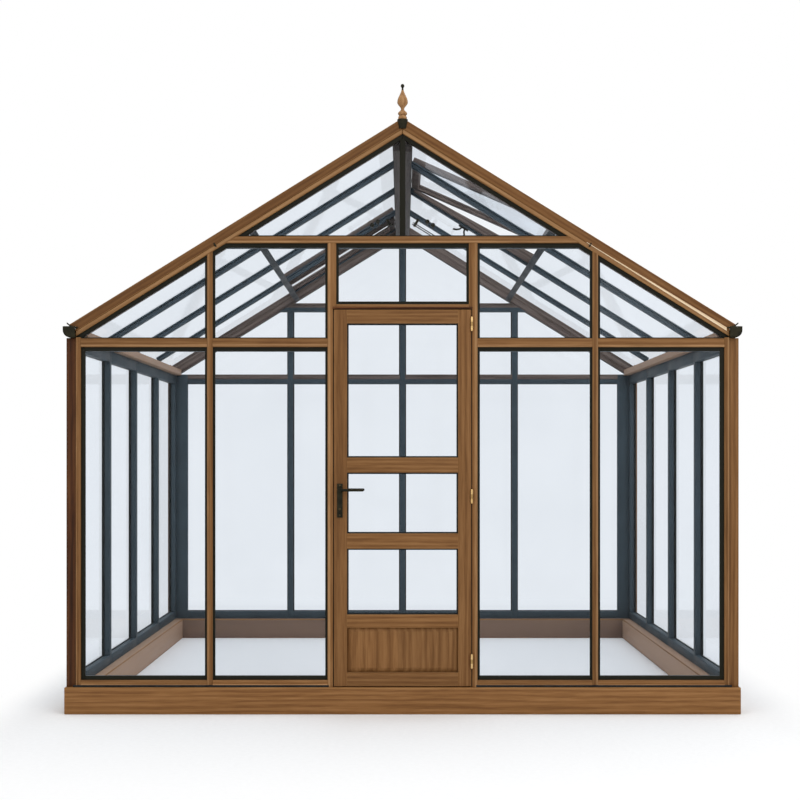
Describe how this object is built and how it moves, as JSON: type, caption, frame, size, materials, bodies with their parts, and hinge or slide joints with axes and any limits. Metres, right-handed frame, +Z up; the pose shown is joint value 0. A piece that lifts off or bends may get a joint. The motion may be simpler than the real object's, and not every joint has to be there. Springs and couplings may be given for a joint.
{
  "type": "glass greenhouse",
  "caption": "Free-standing gabled greenhouse with timber base and trim, dark glazing bars, glass walls and roof, a hinged panelled door with lever, roof vents and turned finials.",
  "frame": {"origin": "middle of the front base timber's underside, below the doorway", "axes": "+X to the right seen from in front, +Y from the front wall to the back wall, +Z up"},
  "size_m": [3.612, 3.045, 3.3576],
  "materials": {
    "timber": "oiled hardwood, fine straight grain",
    "dark_metal": "slate powder coat",
    "bronze_metal": "black bronze, satin",
    "brass": "polished brass",
    "clear_glass": "clear float glass"
  },
  "bodies": {
    "house": {"base_ends": "timber", "base_sides": "timber", "corner_posts": "timber", "front_upright_caps": "timber", "front_rail_caps": "timber", "back_upright_caps": "timber", "back_rail_caps": "timber", "side_rail_caps": "timber", "gable_inner_rails": "timber", "rafters": "timber", "verge_boards": "timber", "verge_mouldings": "timber", "eaves_plates": "timber", "ridge_beam": "timber", "vent_sashes": "timber", "finials": "timber", "front_uprights": "dark_metal", "front_rails": "dark_metal", "back_uprights": "dark_metal", "back_rails": "dark_metal", "side_uprights": "dark_metal", "side_rails": "dark_metal", "rake_rails": "dark_metal", "purlins": "dark_metal", "roof_bars": "dark_metal", "vent_sills": "dark_metal", "ridge_cap": "dark_metal", "door_threshold": "dark_metal", "side_upright_caps": "dark_metal", "gutters": "bronze_metal", "vent_stay": "bronze_metal", "finial_sockets": "bronze_metal", "hinge_frame_leaves": "brass", "front_panes": "clear_glass", "back_panes": "clear_glass", "side_panes": "clear_glass", "roof_panes": "clear_glass", "vent_panes": "clear_glass"},
    "door": {"door_stiles": "timber", "door_rails": "timber", "door_panel": "timber", "door_panes": "clear_glass", "hinge_door_leaves": "brass", "lock_plates": "bronze_metal"},
    "lever": {"lever": "bronze_metal"}
  },
  "joints": [
    {"name": "door_swing", "type": "hinge", "parent": "house", "child": "door", "pos_m": [0.3685, -0.06, 1.151], "axis": [0, 0, 1], "range_deg": [0, 110]},
    {"name": "lever_turn", "type": "hinge", "parent": "door", "child": "lever", "pos_m": [-0.334, -0.031, 1.193], "axis": [0, 1, 0], "range_deg": [0, 40], "stiffness_Nm_per_rad": 0.6, "springref_deg": -68.75}
  ]
}
